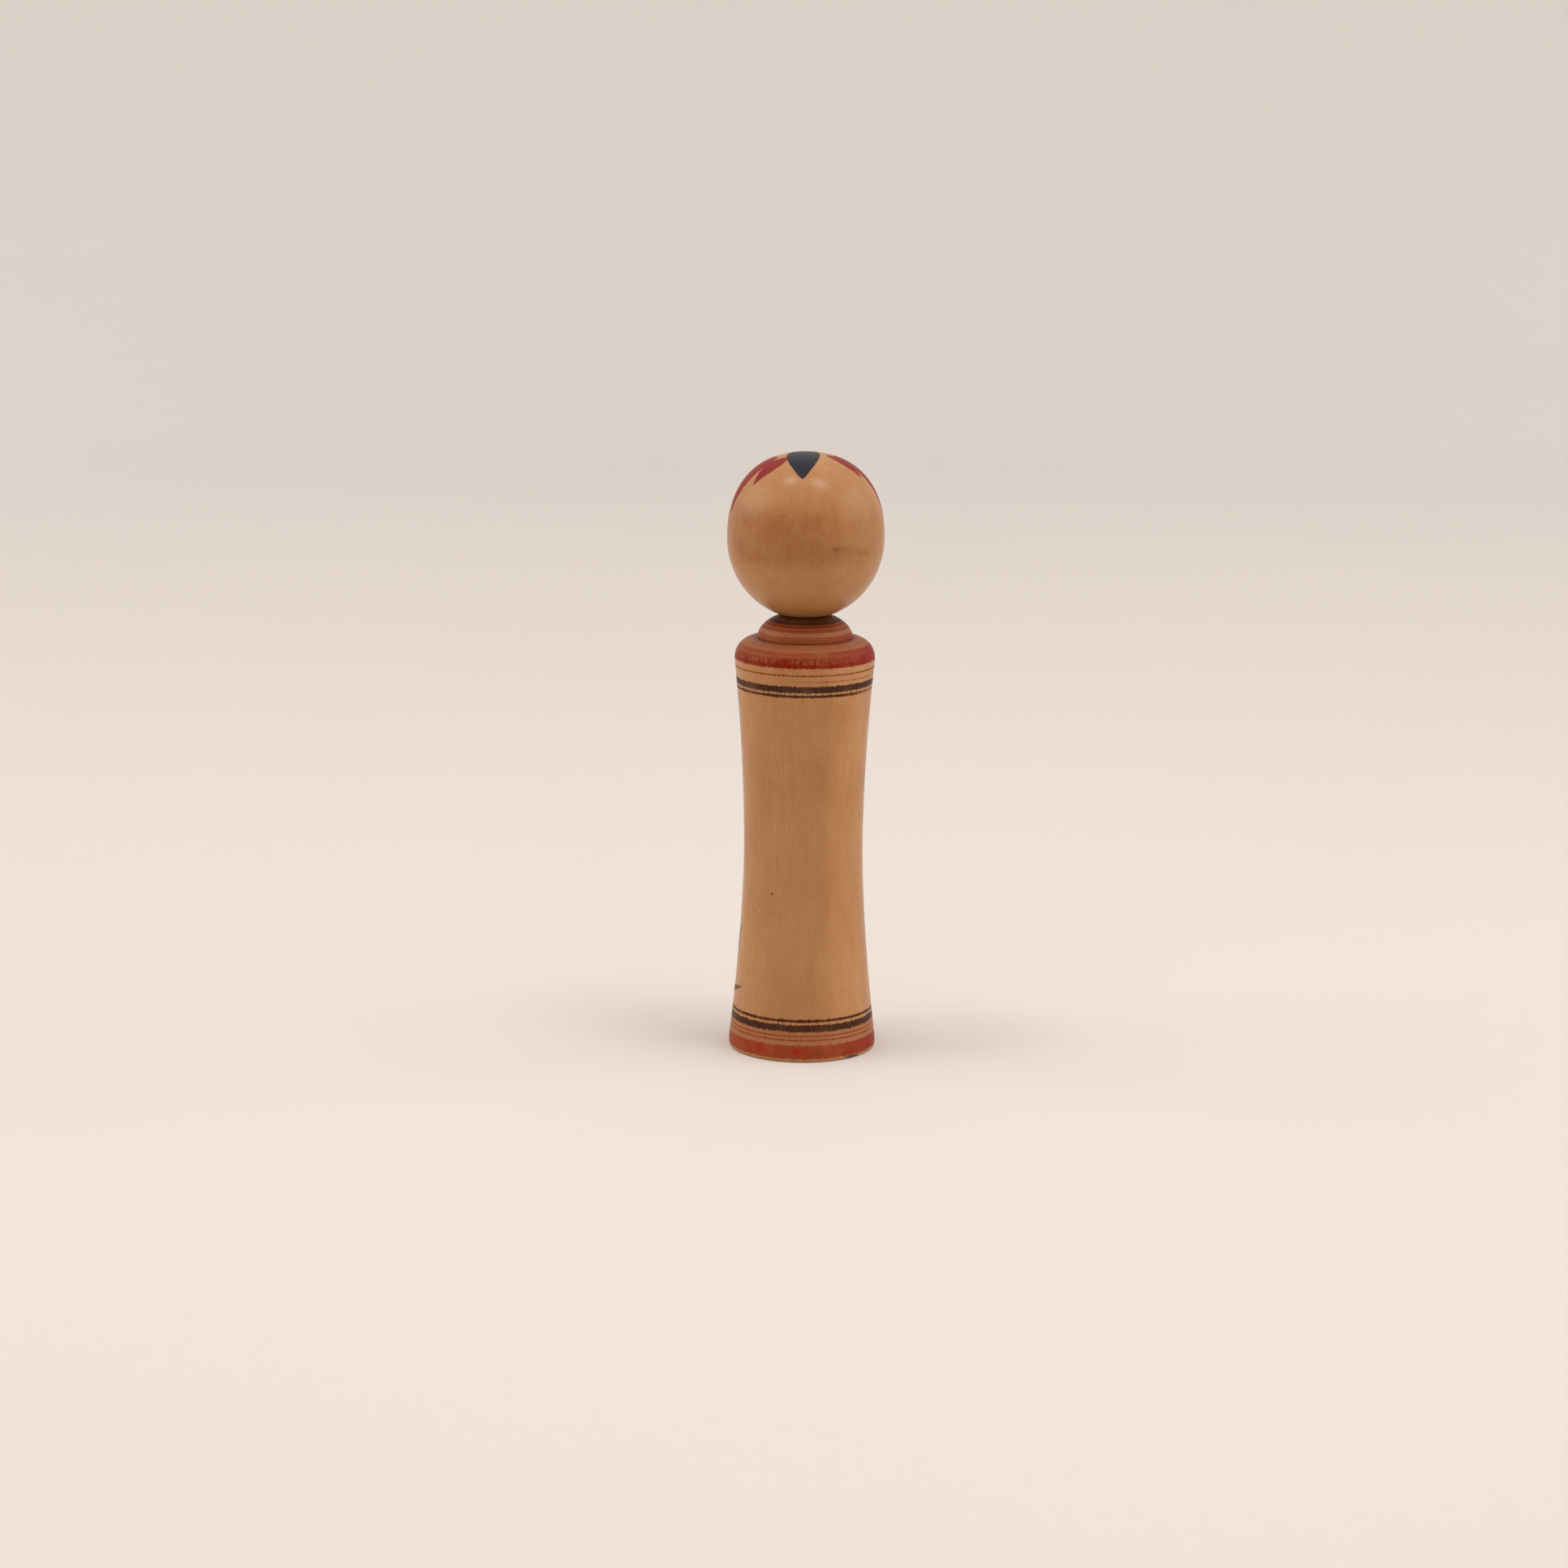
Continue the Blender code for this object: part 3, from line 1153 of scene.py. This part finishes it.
@dataclass
class Film:
    """A thin film of colour made of many strokes on one turned surface.

    Its thickness, the step from one layer to the next and its depth in the wood are in metres. The
    spacing of its points, the width of its thinned rim and the shift of the bristle marks from one
    stroke to the next are in millimetres.
    """

    name: str
    thickness: float = 0.03 * MM
    layer_step: float = 0.008 * MM
    sink: float = 0.06 * MM
    spacing: float = 0.45
    rim_width: float = 0.25
    rim_share: float = 0.35
    bristle_shift: Point = (7.3, 3.1)
    look_ahead: float = 0.01
    strokes: list[tuple[PaintMap, Stroke]] = field(default_factory=list)

    def add(self, chart: PaintMap, *strokes: Stroke) -> None:
        """Adds strokes, drawn on a map."""
        self.strokes += [(chart, stroke) for stroke in strokes]

    def lay(self, bm: bmesh.types.BMesh, chart: PaintMap, stroke: Stroke, number: int) -> None:
        """Shapes a grid into one stroke and gives it an underside in the wood.

        Args:
            bm: The film's mesh.
            chart: The map that the stroke is drawn on.
            stroke: The stroke.
            number: The stroke's number, which moves its bristle marks.
        """
        course = bm.verts.layers.float_vector["course"]
        rim = bm.verts.layers.float["rim"]
        length = sum(math.dist(a, b) for a, b in zip(stroke.route, stroke.route[1:]))
        rows = max(10, round(length / self.spacing))
        columns = max(4, 2 * round(stroke.half_width / self.spacing) + 2)
        made = bmesh.ops.create_grid(bm, x_segments=rows, y_segments=columns, size=0.5)["verts"]
        shift = [step * number for step in self.bristle_shift]
        lowered = {}
        for vert in made:
            share = 0.5 - 0.5 * math.cos(math.pi * min(max(vert.co.x + 0.5, 0.0), 1.0))
            side = 2 * vert.co.y
            x, y = smooth_curve(stroke.route, share)
            ahead = smooth_curve(stroke.route, min(share + self.look_ahead, 1.0))
            behind = smooth_curve(stroke.route, max(share - self.look_ahead, 0.0))
            heading = math.atan2(ahead[1] - behind[1], ahead[0] - behind[0])
            half = stroke.half_width * stroke.touch.width(share)
            x -= math.sin(heading) * half * side
            y += math.cos(heading) * half * side
            inside = half * (1 - abs(side))
            swell = self.rim_share + (1 - self.rim_share) * min(inside / self.rim_width, 1.0)
            lift = self.thickness * swell + self.layer_step * stroke.layer
            vert[course] = Vector((share * length + shift[0], half * side + shift[1], share))
            vert[rim] = inside
            vert.co = chart.place(x, y, lift)
            lowered[vert] = chart.place(x, y, -self.sink)
        faces = list({f for v in made for f in v.link_faces})
        under = bmesh.ops.extrude_face_region(bm, geom=faces, use_keep_orig=True)["geom"]
        spots = {tuple(v.co): place for v, place in lowered.items()}
        for part in under:
            if isinstance(part, bmesh.types.BMVert):
                part.co = spots[tuple(part.co)]

    def build(self) -> bpy.types.Object:
        """Lays all the strokes.

        Returns:
            The film as one object.
        """
        bm = bmesh.new()
        bm.verts.layers.float_vector.new("course")
        bm.verts.layers.float.new("rim")
        for number, (chart, stroke) in enumerate(self.strokes):
            self.lay(bm, chart, stroke, number)
        bmesh.ops.remove_doubles(bm, verts=bm.verts, dist=2e-7)
        bmesh.ops.recalc_face_normals(bm, faces=bm.faces)
        return as_object(self.name, bm)


RIBBONS = (
    (((5.4, 5.1), (8.2, 7.1), (11.7, 8.9), (14.6, 10.4), (17.8, 12.3)), 3.0, Touch.BLADE, 1),
    (((8.5, 1.6), (13.5, 3.0), (19.4, 4.4), (25.5, 5.4), (30.8, 6.5)), 3.6, Touch.RIBBON),
    (((8.6, -3.6), (14.0, -5.2), (20.0, -7.2), (25.5, -9.6), (29.6, -12.6)), 3.1, Touch.RIBBON),
    (((6.2, -7.0), (9.0, -11.5), (12.4, -16.0), (16.4, -19.6), (20.4, -22.0)), 2.5, Touch.RIBBON, 1),
    (((-6.1, 2.2), (-9.5, 3.7), (-12.5, 4.9), (-15.2, 5.8), (-17.5, 7.2)), 2.3, Touch.RIBBON, 1),
    (((-8.0, 0.2), (-14.0, 1.2), (-20.0, 1.7), (-26.0, 2.2), (-31.4, 2.6)), 3.2, Touch.RIBBON),
    (((-8.2, -4.4), (-13.6, -6.2), (-19.4, -8.6), (-24.6, -11.2), (-28.8, -14.2)), 3.0, Touch.RIBBON),
    (((-5.8, -7.4), (-8.4, -12.0), (-11.6, -16.6), (-15.4, -20.4), (-19.2, -22.8)), 2.4, Touch.RIBBON, 1),
)
TUFT = ((0.5, -4.6), (0.7, 0.0), (1.05, 6.5), (1.2, 12.5), (1.32, 17.8))
LOCK_TIPS = (157.4, 153.8, 151.0, 149.2, 148.4, 148.8, 150.2, 152.6, 156.0)
# Brow, lash line, lid, lower lid and pupil of the eye on the doll's left.
EYE = (
    (((2.9, 160.4), (5.4, 162.0), (8.6, 162.2), (11.8, 160.2)), 0.42, Touch.PETAL),
    (((3.0, 155.5), (5.0, 156.75), (7.8, 156.8), (10.5, 155.2)), 0.36, Touch.PETAL),
    (((3.5, 157.2), (5.8, 158.25), (8.2, 158.1), (10.6, 156.7)), 0.15, Touch.LINE),
    (((4.0, 155.0), (6.5, 154.45), (9.2, 154.9)), 0.14, Touch.LINE),
    (((5.75, 155.85), (7.45, 155.85)), 0.88, Touch.DAB),
)
NOSE = ((-1.15, 152.9), (-1.5, 151.2), (-0.65, 150.1), (0.65, 150.1), (1.5, 151.2), (1.15, 152.9))
UPPER_LIP = ((-1.8, 146.2), (-0.7, 146.85), (0.0, 146.5), (0.7, 146.85), (1.8, 146.2))
LOWER_LIP = ((-1.2, 145.55), (0.0, 145.1), (1.2, 145.55))


@dataclass
class HeadPainting:
    """Hair, ribbons and face, drawn on the head with four brushes."""

    skin: Skin

    def ribbons(self) -> Film:
        """Draws the red ribbon strokes that sweep out from the tied hair on each side."""
        film = Film("ribbon_dye")
        film.add(CrownMap(self.skin), *(Stroke(*row) for row in RIBBONS))
        return film

    def hair(self) -> Film:
        """Draws the tied tuft, the forelock and the two side locks.

        Returns:
            The film of black ink.
        """
        above, front = CrownMap(self.skin), FrontMap(self.skin)
        film = Film("hair_ink")
        film.add(above, Stroke(TUFT, 4.95, Touch.SPADE, 2))
        for i in range(-5, 6):
            root = (0.16 * i + 0.4, -2.6)
            middle = (1.7 * i, -15.0 + 0.08 * i * i)
            tip = (2.3 * i, -27.9 + 0.2 * i * i + 0.8 * (i % 2))
            film.add(above, Stroke((root, middle, tip), 2.0, Touch.FRINGE, 2 + i % 2))
        for side in (-1, 1):
            for i, low in enumerate(LOCK_TIPS):
                across = 18.0 + 1.35 * i
                root = (side * (21.4 + 0.42 * i), 169.0 - 0.09 * (i - 4) ** 2)
                middle = (side * (across + 1.6), 161.0)
                tip = (side * (across - 0.5), low)
                film.add(front, Stroke((root, middle, tip), 1.45, Touch.LOCK, 2 + i % 2))
        return film

    def face(self) -> Film:
        """Draws brows, eyes and nose in fine lines.

        Returns:
            The film of black ink.
        """
        chart = FrontMap(self.skin)
        film = Film("face_ink", spacing=0.25)
        for side in (-1, 1):
            for route, half_width, touch in EYE:
                film.add(chart, Stroke(tuple((side * x, z) for x, z in route), half_width, touch))
        film.add(chart, Stroke(NOSE, 0.2, Touch.LINE))
        return film

    def mouth(self) -> Film:
        """Draws the small red mouth."""
        film = Film("lip_dye", spacing=0.25)
        lips = Stroke(UPPER_LIP, 0.36, Touch.LEAF), Stroke(LOWER_LIP, 0.4, Touch.DAB)
        film.add(FrontMap(self.skin), *lips)
        return film


@dataclass(frozen=True)
class Petals:
    """A fan of petals about a centre, each drawn from its tip inwards."""

    centre: Point
    reach: float
    heart: float
    first: float
    last: float
    count: int
    half_width: float
    squash: float = 1.0
    layer: int = 0
    wobble: float = 1.5
    unevenness: Point = (0.96, 1.04)
    bend: float = 7.0

    def strokes(self, dice: random.Random) -> list[Stroke]:
        """Draws the fan with the small unevenness of a hand.

        Args:
            dice: The source of that unevenness.

        Returns:
            One stroke for each petal.
        """
        made = []
        for i in range(self.count):
            share = i / max(self.count - 1, 1)
            turned = self.first + (self.last - self.first) * share
            angle = math.radians(turned + dice.uniform(-self.wobble, self.wobble))
            reach = self.reach * dice.uniform(*self.unevenness)
            bend = math.radians(self.bend) * math.cos(angle)
            route = []
            for part, bent in ((1.0, 0.0), (0.6, bend), (self.heart / self.reach, 0.0)):
                x = self.centre[0] + reach * part * math.cos(angle + bent)
                z = self.centre[1] + reach * part * math.sin(angle + bent) * self.squash
                route.append((x, z))
            layer = self.layer + i % 2
            made.append(Stroke(tuple(route), self.half_width, Touch.TEARDROP, layer))
        return made


FLOWERS = (
    Petals((0.0, 84.5), 20.0, 5.0, 8, 172, 11, 2.1),
    Petals((0.0, 87.0), 12.0, 3.0, 38, 142, 6, 1.8, layer=2),
    Petals((0.0, 85.0), 12.5, 3.0, 197, 343, 7, 1.9, squash=0.72, layer=2),
    Petals((0.5, 49.0), 16.0, 4.0, 0, 337, 16, 1.9, squash=0.9),
    Petals((0.5, 49.0), 7.5, 1.2, 20, 335, 8, 1.35, squash=0.9, layer=2),
)
# Two of the lowest leaves reach far round the doll's left side.
LEAVES = (
    (((0.2, 66.8), (10.5, 68.5), (21.0, 76.0)), 2.3),
    (((-0.2, 66.8), (-10.5, 68.2), (-21.5, 74.5)), 2.3),
    (((0.2, 65.4), (12.5, 62.9), (23.5, 66.2)), 2.0),
    (((-0.2, 65.4), (-12.5, 62.7), (-23.0, 65.4)), 2.0),
    (((0.1, 31.2), (11.0, 30.8), (21.5, 37.0)), 2.5),
    (((-0.1, 31.2), (-11.0, 30.4), (-22.0, 35.6)), 2.5),
    (((0.2, 28.0), (15.0, 22.9), (28.0, 26.5), (33.9, 38.9)), 2.2),
    (((-0.2, 28.0), (-13.0, 22.6), (-25.5, 26.4)), 2.4),
    (((0.1, 23.4), (13.0, 16.9), (28.0, 16.8), (41.0, 19.9)), 2.2),
    (((-0.1, 23.4), (-11.5, 17.2), (-23.5, 18.0)), 2.1),
    (((0.0, 26.0), (0.4, 20.5), (0.0, 14.9)), 1.8),
)
STEMS = (
    ((0.2, 75.0), (-0.3, 67.5), (0.3, 61.0)),
    ((0.4, 35.0), (0.0, 29.0), (0.1, 21.0)),
)
# The middle of each flower's heart, and the turn of the dashes round it.
HEARTS = (((0.5, 49.0), 0.0), ((0.0, 85.4), 26.0))


@dataclass
class BodyPainting:
    """Two chrysanthemums with their stems and leaves, up the front of the trunk."""

    skin: Skin
    seed: int = 6
    stem_half_width: float = 0.62
    dashes: int = 7

    def flowers(self) -> Film:
        """Draws the red petals, the far ones first.

        Returns:
            The film of red dye.
        """
        film = Film("flower_dye")
        dice = random.Random(self.seed)
        for fan in FLOWERS:
            film.add(FrontMap(self.skin), *fan.strokes(dice))
        return film

    def leaves(self) -> Film:
        """Draws the leaves and the stems.

        Returns:
            The film of green ink, which has browned.
        """
        chart = FrontMap(self.skin)
        film = Film("leaf_ink")
        for i, (route, half_width) in enumerate(LEAVES):
            film.add(chart, Stroke(route, half_width, Touch.LEAF, i % 2))
        film.add(chart, *(Stroke(route, self.stem_half_width, Touch.LINE, 2) for route in STEMS))
        return film

    def hearts(self) -> Film:
        """Draws the hearts of the flowers: a dab of ink with a ring of short dashes.

        Returns:
            The film of black ink.
        """
        chart = FrontMap(self.skin)
        film = Film("vein_ink", thickness=0.05 * MM, spacing=0.3)
        for (x, z), turn_by in HEARTS:
            film.add(chart, Stroke(((x - 0.9, z), (x + 0.9, z)), 0.95, Touch.DAB, 3))
            for i in range(self.dashes):
                angle = math.radians(turn_by + 360 * i / self.dashes)
                across, up = math.cos(angle), 0.85 * math.sin(angle)
                dash = tuple((x + reach * across, z + reach * up) for reach in (2.1, 3.5))
                film.add(chart, Stroke(dash, 0.3, Touch.DAB, 3))
        return film


# ---------------------------------------------------------------- studio


@dataclass(frozen=True)
class Lamp:
    """One soft lamp: where it hangs in metres, its width and length, its power in watts."""

    name: str
    place: Triple
    size: Point
    power: float
    warmth: Triple

    def hang(self, aim: Triple) -> None:
        """Hangs the lamp so that it faces a point.

        Args:
            aim: The point, in metres.
        """
        light = bpy.data.lights.new(self.name, "AREA")
        light.shape = "RECTANGLE"
        light.size, light.size_y = self.size
        light.energy = self.power
        light.color = self.warmth
        lamp = bpy.data.objects.new(self.name, light)
        lamp.location = self.place
        ahead = Vector(aim) - Vector(self.place)
        lamp.rotation_euler = ahead.to_track_quat("-Z", "Y").to_euler()
        lamp.visible_camera = False
        bpy.context.scene.collection.objects.link(lamp)


WARM = (1.0, 0.96, 0.92)
PALE = (1.0, 0.98, 0.96)
LAMPS = (
    Lamp("top_left", (0.28, 0.09, 1.07), (0.15, 0.15), 1.2, WARM),
    Lamp("top_right", (-0.27, 0.19, 1.05), (0.18, 0.34), 1.9, WARM),
    Lamp("side_left", (1.9, -0.20, 0.95), (1.8, 1.3), 12.5, PALE),
    Lamp("side_right", (-1.9, -0.05, 0.95), (1.8, 1.3), 12.5, PALE),
)


@dataclass
class Studio:
    """A pale round sweep, soft lights and the camera."""

    floor_reach: float = 1.35
    sweep: float = 0.9
    wall_top: float = 1.3
    facets: int = 96
    floor_paper: Colour = (0.725, 0.670, 0.630, 1.0)
    wall_paper: Colour = (0.748, 0.706, 0.676, 1.0)
    paper_mottle: Colour = (0.5, 0.46, 0.42, 1.0)
    paper_roughness: float = 0.83
    paper_shine: float = 0.2
    aim: Triple = (0.0, 0.0, 0.09)
    air: float = 0.85
    lens: float = 89.53
    camera_place: Triple = (0.00592, 1.14127, 0.32173)
    camera_dip: float = 11.947
    camera_roll: float = 0.40

    def backdrop(self) -> None:
        """Makes the floor and the wall that it sweeps up into all round."""
        sweep = superellipse(self.sweep, self.sweep, 2.0, -90, 0, 24)
        line = [(0.0, 0.0), (self.floor_reach, 0.0)]
        line += moved(sweep[1:], self.floor_reach, self.sweep)
        line.append((self.floor_reach + self.sweep, self.wall_top))
        piece = turn("backdrop", line, self.facets, merge=1e-6)
        material, w = new_material("backdrop_paper")
        here = w.add("ShaderNodeTexCoord", {}).outputs["Object"]
        away = w.vector("LENGTH", here)
        paper = w.mix(w.ease(away, 0.2, 1.7), self.floor_paper, self.wall_paper)
        mottle = w.ease(w.noise(here, (3.0, 3.0, 3.0), 2.0), 0.2, 0.8, 0.0, 0.04)
        inputs = {
            "Base Color": w.mix(mottle, paper, self.paper_mottle),
            "Roughness": self.paper_roughness,
            "Specular IOR Level": self.paper_shine,
        }
        w.fill(w.tree.nodes["Principled BSDF"], inputs)
        piece.data.materials.append(material)

    def lights(self) -> None:
        """Hangs the lamps and sets the air's own light."""
        for lamp in LAMPS:
            lamp.hang(self.aim)
        world = bpy.data.worlds.new("air")
        world.use_nodes = True
        air = {"Color": (*WARM, 1.0), "Strength": self.air}
        Wiring(world.node_tree).fill(world.node_tree.nodes["Background"], air)
        bpy.context.scene.world = world

    def camera(self) -> None:
        """Stands the camera behind the doll, a little above it, and looks down at it."""
        data = bpy.data.cameras.new("camera")
        data.sensor_width = 36.0
        data.lens = self.lens
        data.clip_start, data.clip_end = 0.05, 20.0
        camera = bpy.data.objects.new("camera", data)
        facing_front = Matrix.Rotation(math.pi, 4, "Z")
        dip = Matrix.Rotation(math.radians(90 - self.camera_dip), 4, "X")
        roll = Matrix.Rotation(math.radians(self.camera_roll), 4, "Z")
        camera.matrix_world = Matrix.Translation(self.camera_place) @ facing_front @ dip @ roll
        bpy.context.scene.collection.objects.link(camera)
        bpy.context.scene.camera = camera
        bpy.context.scene.view_settings.view_transform = "Standard"


# ---------------------------------------------------------------- the doll


BODY_BANDS = (
    Band(1.10, 5.24, Dye.RED, 0.90, 0.30, 0.12),
    Band(1.10, 5.24, Dye.CRIMSON, 0.70, 0.30, 0.12, lean=-1.0, spread=-0.3),
    Band(5.24, 9.60, Dye.PINK_WASH, 0.60, 0.20, 0.5),
    Band(6.50, 6.94, Dye.RED_BROWN, 0.95, 0.16),
    Band(7.74, 8.14, Dye.RED_BROWN, 0.90, 0.16),
    Band(9.26, 11.28, Dye.INK, 1.0, 0.30),
    Band(12.08, 12.86, Dye.BROWN_INK, 1.0, 0.26),
    Band(110.16, 110.96, Dye.BROWN_INK, 1.0, 0.26, lean=1.0, spread=1.45),
    Band(111.60, 113.54, Dye.INK, 1.0, 0.24),
    Band(114.72, 115.02, Dye.RED, 0.75, lean=-1.0, spread=0.5),
    Band(116.58, 117.00, Dye.RED_BROWN, 1.0, 0.14),
    Band(118.95, 121.80, Dye.RED_BROWN, 0.92),
    Band(119.00, 120.10, Dye.DEEP_RED, 0.95, 0.14),
    Band(120.20, 120.60, Dye.DEEP_RED, 1.0, 1.35, 0.30, streaky=True),
    Band(120.00, 120.15, Dye.DARK_RED, 0.70, 1.20, 0.35, streaky=True),
    Band(121.60, 123.45, Dye.RED_BROWN, 0.92, 0.08, 0.12),
    Band(122.08, 122.34, Dye.PINK_WASH, 0.50, 0.05),
    Band(118.95, 123.60, Dye.CRIMSON, 0.80, 0.10, 0.15, lean=-1.0, spread=-0.2),
    Band(123.35, 124.90, Dye.PINK_WASH, 0.92, 0.06, 0.10),
    Band(124.10, 124.19, Dye.RED_BROWN, 0.55, 0.02, 0.03),
    Band(124.44, 124.48, Dye.RED_BROWN, 0.35, 0.01, 0.02),
    Band(125.00, 127.05, Dye.RED_BROWN, 0.88, 0.10, 0.12),
    Band(125.20, 127.00, Dye.CRIMSON, 0.60, 0.10, 0.15, lean=-1.0, spread=-0.2),
    Band(124.85, 125.22, Dye.DARK_RED, 0.70, 0.03, 0.06),
    Band(127.05, 128.05, Dye.PINK_WASH, 0.80, 0.08, 0.12),
    Band(128.05, 130.20, Dye.RED_BROWN, 0.92, 0.06, 0.10),
    Band(128.48, 128.72, Dye.DARK_RED, 0.40, 0.04),
    Band(128.86, 129.20, Dye.PINK_WASH, 0.40, 0.04),
    Band(129.44, 129.78, Dye.DARK_RED, 0.95, 0.05),
    # Just under the head: a brown ring that is partly painted shade under the head.
    Band(130.06, 131.90, Dye.BROWN_INK, 0.90, 0.08),
    Band(130.22, 130.62, Dye.INK, 0.95, 0.05),
)

BODY_SPOTS = (
    Spot(31.1, 18.1, 50.2, 0.48, 0.46, (0.10, 0.035, 0.016, 1.0), 0.95),
    Spot(45.0, 18.4, 44.3, 0.26, 1.20, (0.62, 0.36, 0.17, 1.0), 0.50),
    Spot(-36.4, 18.8, 85.0, 0.22, 0.30, (0.17, 0.060, 0.025, 1.0), 0.55),
    Spot(4.0, 18.0, 63.0, 0.30, 0.26, (0.24, 0.090, 0.035, 1.0), 0.35),
    # A dark patch low on the foot's edge, on the doll's right.
    Spot(-43.0, 21.8, 0.4, 3.4, 0.8, (0.050, 0.022, 0.010, 1.0), 0.85),
)

BODY_BLOTS = (
    Spot(34.4, 22.0, 3.7, 1.75, 1.75, (0.34, 0.012, 0.004, 1.0), 0.75, 0.6),
    Spot(5.2, 22.0, 3.2, 1.75, 1.55, (0.34, 0.012, 0.004, 1.0), 0.75),
    Spot(52.0, 22.0, 4.1, 1.3, 0.9, (0.34, 0.012, 0.004, 1.0), 0.45),
    Spot(-12.0, 22.0, 3.0, 2.6, 1.1, (0.17, 0.030, 0.012, 1.0), 0.35),
)

HEAD_SPOTS = (
    Spot(-21.8, 23.2, 154.4, 1.5, 0.85, (0.17, 0.060, 0.024, 1.0), 0.60),
    Spot(-30.0, 23.2, 153.9, 7.5, 1.60, (0.22, 0.085, 0.035, 1.0), 0.28),
    Spot(-46.5, 23.2, 152.6, 3.6, 1.20, (0.20, 0.075, 0.030, 1.0), 0.32),
    Spot(-12.0, 23.1, 151.2, 0.9, 0.70, (0.22, 0.085, 0.035, 1.0), 0.40),
    Spot(17.0, 22.7, 163.8, 1.2, 0.55, (0.20, 0.075, 0.030, 1.0), 0.45),
    Spot(20.0, 23.2, 158.9, 0.8, 0.55, (0.20, 0.075, 0.030, 1.0), 0.35),
)


def dress(piece: bpy.types.Object, material: bpy.types.Material, body: str) -> None:
    """Gives a piece its material and its body, and logs it.

    Args:
        piece: The piece.
        material: Its material.
        body: The body that it rides on.
    """
    piece.data.materials.clear()
    piece.data.materials.append(material)
    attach(piece, body)
    LOG.info("%s: %d faces, rides on %s", piece.name, len(piece.data.polygons), body)


def main() -> None:
    """Builds the doll block by block, paints it and sets the studio."""
    logging.basicConfig(level=logging.INFO, format="%(message)s")
    groups = Groups()
    studio = Studio()
    studio.backdrop()
    studio.lights()
    studio.camera()

    body = TurnedBody(high=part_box("body")[1])
    pith = (34.0, -46.0, 0.0)
    body_wood = BandedWood("body_wood_banded", pith, spots=BODY_SPOTS, bands=BODY_BANDS, blots=BODY_BLOTS)
    trunk = body.build()
    dress(trunk, body_wood.material(groups), "body")
    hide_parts("body")

    head = TurnedHead(*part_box("head"))
    head_wood = PlainWood("head_wood_plain", (-38.0, -30.0, 0.0), spots=HEAD_SPOTS)
    ball = head.build()
    dress(ball, head_wood.material(groups), "head")
    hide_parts("head")

    red = (0.245, 0.024, 0.021, 1.0), (0.165, 0.010, 0.012, 1.0), 0.25
    black = (0.020, 0.021, 0.030, 1.0), (0.012, 0.013, 0.021, 1.0), 0.0
    fine = (0.030, 0.022, 0.020, 1.0), (0.015, 0.012, 0.012, 1.0), 0.2, 0.05, 0.06
    lip = (0.36, 0.05, 0.04, 1.0), (0.22, 0.02, 0.02, 1.0), 0.2, 0.06, 0.08
    painting = HeadPainting(Skin(head.side()))
    works = (
        (painting.ribbons(), BrushFinish("ribbon_red", head_wood, *red)),
        (painting.hair(), BrushFinish("hair_black", head_wood, *black, rub=0.0, wax=0.14)),
        (painting.face(), BrushFinish("face_black", head_wood, *fine)),
        (painting.mouth(), BrushFinish("lip_red", head_wood, *lip)),
    )
    for film, finish in works:
        dress(film.build(), finish.material(groups), "head")

    petal = (0.36, 0.055, 0.035, 1.0), (0.20, 0.016, 0.012, 1.0), 0.6
    green = (0.140, 0.066, 0.020, 1.0), (0.056, 0.038, 0.012, 1.0), 0.5
    heart = (0.030, 0.022, 0.018, 1.0), (0.015, 0.012, 0.012, 1.0), 0.3, 0.06, 0.1
    bouquet = BodyPainting(Skin(body.side()))
    works = (
        (bouquet.flowers(), BrushFinish("petal_red", body_wood, *petal)),
        (bouquet.leaves(), BrushFinish("leaf_green", body_wood, *green)),
        (bouquet.hearts(), BrushFinish("vein_black", body_wood, *heart)),
    )
    for film, finish in works:
        dress(film.build(), finish.material(groups), "body")


if __name__ == "__main__":
    main()
